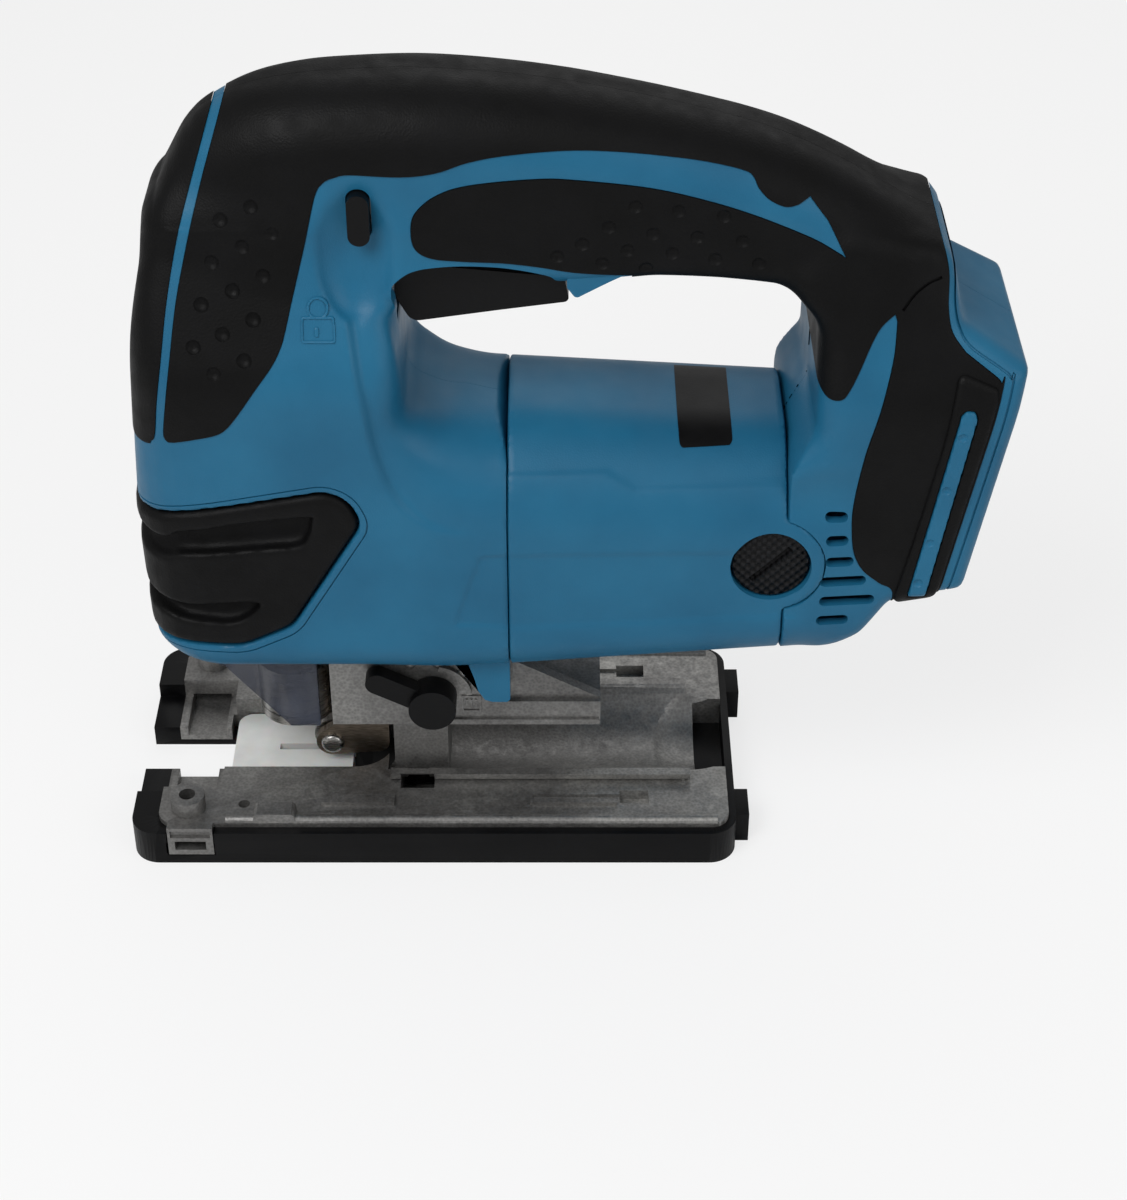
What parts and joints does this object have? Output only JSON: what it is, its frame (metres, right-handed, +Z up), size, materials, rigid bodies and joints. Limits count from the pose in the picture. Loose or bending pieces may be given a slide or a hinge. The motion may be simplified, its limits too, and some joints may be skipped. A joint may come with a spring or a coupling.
{
  "type": "jigsaw power tool",
  "caption": "Cordless jigsaw with a looped handle, trigger, motor and crank drive, blade clamp, orbit lever, dust cover and a sliding, tilting base plate.",
  "frame": {"origin": "centre of the sole's footprint box, on the surface that the sole rests on", "axes": "+X from the nose towards the battery foot, +Y to the user's right seen from behind the blade, +Z up"},
  "size_m": [0.2219, 0.077, 0.2046],
  "materials": {
    "teal_plastic": "fine moulded texture",
    "black_elastomer": "soft matte",
    "black_plastic": "satin moulded",
    "die_cast": "shot-blasted casting",
    "steel": "ground",
    "laminated_steel": "stacked laminations",
    "copper": "enamelled winding",
    "brass": "satin",
    "carbon": "pressed carbon",
    "clear_plastic": "smoky clear",
    "milky_plastic": "translucent"
  },
  "bodies": {
    "housing": {"handle_shell_left": "teal_plastic", "handle_shell_right": "teal_plastic", "grip_overmould_left": "black_elastomer", "grip_overmould_right": "black_elastomer", "housing_screws": "steel", "motor_housing": "teal_plastic", "brush_caps": "black_plastic", "brush_holders": "brass", "carbon_brushes": "carbon", "motor_stator": "laminated_steel", "field_magnets": "laminated_steel", "motor_bearings": "steel", "gear_axle": "steel", "gear_housing": "die_cast", "lower_slider_guide": "steel", "upper_slider_guide": "steel", "fork_pivot_pin": "steel", "opener_pin": "steel", "trigger_pin": "steel", "power_switch": "black_plastic", "terminal_block": "black_plastic", "terminal_blades": "brass"},
    "rotor": {"armature_shaft": "steel", "armature_core": "laminated_steel", "armature_windings": "copper", "commutator": "copper", "cooling_fan": "black_plastic", "motor_pinion": "steel"},
    "crank": {"crank_gear": "steel", "crank_pin": "steel"},
    "slider": {"slider_yoke": "steel", "blade_holder": "steel"},
    "clamp": {"clamp_sleeve": "steel"},
    "fork": {"roller_fork": "steel", "roller_pin": "steel"},
    "roller": {"guide_roller": "steel"},
    "lever": {"orbit_lever": "black_plastic"},
    "opener": {"tool_opener": "black_elastomer"},
    "cover": {"dust_cover": "clear_plastic"},
    "trigger": {"trigger": "black_plastic"},
    "lock": {"lock_button": "black_plastic"},
    "carrier": {"bevel_saddle": "die_cast", "bevel_bolt": "steel"},
    "base": {"base_plate": "die_cast", "base_cover": "black_plastic", "anti_splinter_insert": "milky_plastic"}
  },
  "joints": [
    {"name": "motor_spin", "type": "hinge", "parent": "housing", "child": "rotor", "pos_m": [0, 0, 0.089], "axis": [1, 0, 0], "continuous": true},
    {"name": "crank_spin", "type": "hinge", "parent": "housing", "child": "crank", "pos_m": [-0.0535, 0, 0.1133], "axis": [1, 0, 0], "continuous": true},
    {"name": "blade_stroke", "type": "slide", "parent": "housing", "child": "slider", "axis": [0, 0, 1], "range_m": [0, 0.026]},
    {"name": "clamp_twist", "type": "hinge", "parent": "slider", "child": "clamp", "pos_m": [-0.07, 0, 0.032], "axis": [0, 0, -1], "range_deg": [0, 35]},
    {"name": "fork_swing", "type": "hinge", "parent": "housing", "child": "fork", "pos_m": [-0.051, 0, 0.038], "axis": [0, 1, 0], "range_deg": [0, 3], "stiffness_Nm_per_rad": 0.5},
    {"name": "roller_spin", "type": "hinge", "parent": "fork", "child": "roller", "pos_m": [-0.061, 0, 0.0138], "axis": [0, 1, 0], "continuous": true},
    {"name": "orbit_select", "type": "hinge", "parent": "housing", "child": "lever", "pos_m": [-0.033, -0.0234, 0.041], "axis": [0, -1, 0], "range_deg": [0, 48]},
    {"name": "opener_swing", "type": "hinge", "parent": "housing", "child": "opener", "pos_m": [-0.086, 0.0275, 0.088], "axis": [0, 0, -1], "range_deg": [0, 35], "stiffness_Nm_per_rad": 0.3},
    {"name": "cover_lift", "type": "slide", "parent": "housing", "child": "cover", "axis": [0, 0, 1], "range_m": [0, 0.02]},
    {"name": "trigger_pull", "type": "hinge", "parent": "housing", "child": "trigger", "pos_m": [-0.0015, 0, 0.157], "axis": [0, 1, 0], "range_deg": [0, 5.5], "stiffness_Nm_per_rad": 1},
    {"name": "lock_slide", "type": "slide", "parent": "housing", "child": "lock", "axis": [0, 1, 0], "range_m": [-0.0025, 0.0025]},
    {"name": "base_slide", "type": "slide", "parent": "housing", "child": "carrier", "axis": [1, 0, 0], "range_m": [0, 0.015]},
    {"name": "base_tilt", "type": "hinge", "parent": "carrier", "child": "base", "pos_m": [-0.038, 0, 0.0275], "axis": [1, 0, 0], "range_deg": [-45, 45]}
  ],
  "couplings": [
    {"joint": "crank_spin", "follows": "motor_spin", "ratio": -0.22727},
    {"joint": "clamp_twist", "follows": "opener_swing", "ratio": 1}
  ]
}
